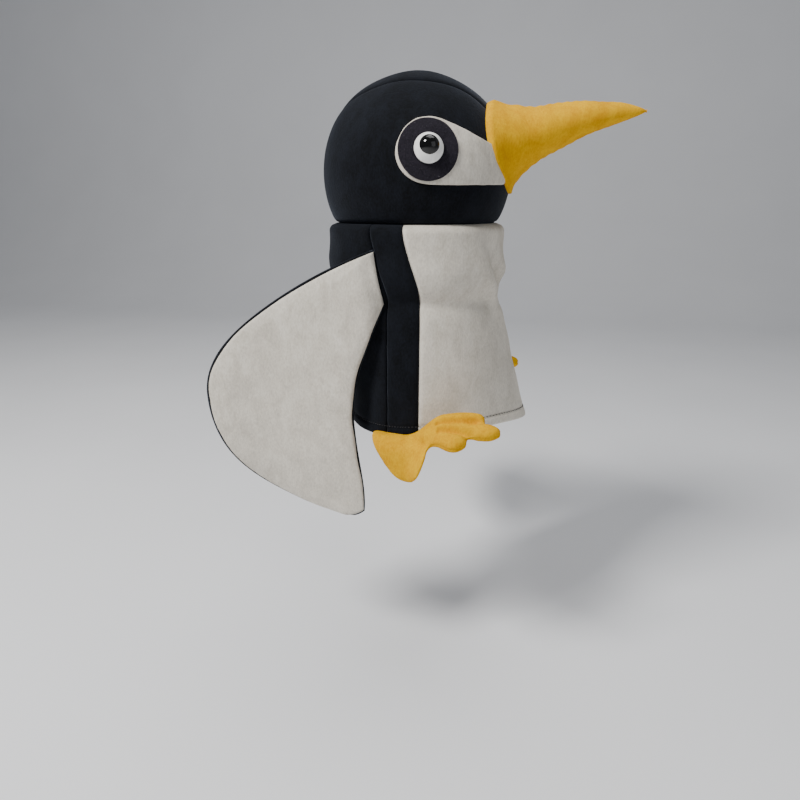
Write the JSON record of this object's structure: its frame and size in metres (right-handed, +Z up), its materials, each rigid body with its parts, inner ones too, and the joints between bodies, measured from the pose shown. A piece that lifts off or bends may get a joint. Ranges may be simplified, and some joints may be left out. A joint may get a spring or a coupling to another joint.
{
  "type": "plush penguin",
  "caption": "Plush penguin worn as a cap: stuffed head and beak on a soft tube with an open hem, with hanging wings and feet.",
  "frame": {"origin": "middle of the head opening, in the plane of the hem, under the neck's axis", "axes": "+X the way the penguin faces, +Y its left side, +Z up from the hem to the crown of its head"},
  "size_m": [0.4224, 0.404, 0.4465],
  "materials": {
    "black_plush": "short pile plush, bluish black, matt with a soft sheen",
    "white_plush": "short pile plush, warm white",
    "yellow_plush": "short pile plush, egg-yolk yellow",
    "dark_felt": "pressed felt, matt",
    "lining_cloth": "plain woven polyester lining",
    "fibre_filling": "loose polyester fibre",
    "wadding": "bonded polyester wadding",
    "white_eye_plastic": "moulded, glossy",
    "black_eye_plastic": "moulded, polished",
    "washer_plastic": "moulded"
  },
  "bodies": {
    "hat": {"head_left_panel": "black_plush", "head_right_panel": "black_plush", "head_gusset": "black_plush", "head_filling": "fibre_filling", "neck_filling": "fibre_filling", "front_panel": "white_plush", "right_side_strip": "black_plush", "left_side_strip": "black_plush", "back_panel": "black_plush", "hem_facing": "black_plush", "lining_left": "lining_cloth", "lining_right": "lining_cloth", "beak_left_panel": "yellow_plush", "beak_right_panel": "yellow_plush", "beak_filling": "fibre_filling", "right_eye_patch": "white_plush", "left_eye_patch": "white_plush", "right_eye_felt": "dark_felt", "left_eye_felt": "dark_felt", "right_eyeball": "white_eye_plastic", "left_eyeball": "white_eye_plastic", "right_pupil": "black_eye_plastic", "left_pupil": "black_eye_plastic", "right_eye_washer": "washer_plastic", "left_eye_washer": "washer_plastic"},
    "right_wing": {"right_wing_back": "black_plush", "right_wing_wadding": "wadding", "right_wing_front": "white_plush"},
    "left_wing": {"left_wing_back": "black_plush", "left_wing_wadding": "wadding", "left_wing_front": "white_plush"},
    "right_foot": {"right_foot_top": "yellow_plush", "right_foot_sole": "yellow_plush", "right_foot_filling": "fibre_filling"},
    "left_foot": {"left_foot_top": "yellow_plush", "left_foot_sole": "yellow_plush", "left_foot_filling": "fibre_filling"}
  },
  "joints": [
    {"name": "right_wing_swing", "type": "hinge", "parent": "hat", "child": "right_wing", "pos_m": [-0.0185, -0.0893, 0.135], "axis": [-0.1764, 0, 0.9843], "range_deg": [0, 80]},
    {"name": "left_wing_swing", "type": "hinge", "parent": "hat", "child": "left_wing", "pos_m": [-0.0185, 0.0893, 0.135], "axis": [0.1764, 0, -0.9843], "range_deg": [-60, 20]},
    {"name": "right_foot_swing", "type": "hinge", "parent": "hat", "child": "right_foot", "pos_m": [-0.0125, -0.099, 0], "axis": [-1, 0, 0], "range_deg": [-20, 20]},
    {"name": "left_foot_swing", "type": "hinge", "parent": "hat", "child": "left_foot", "pos_m": [0.0015, 0.099, 0], "axis": [1, 0, 0], "range_deg": [-20, 20]}
  ]
}
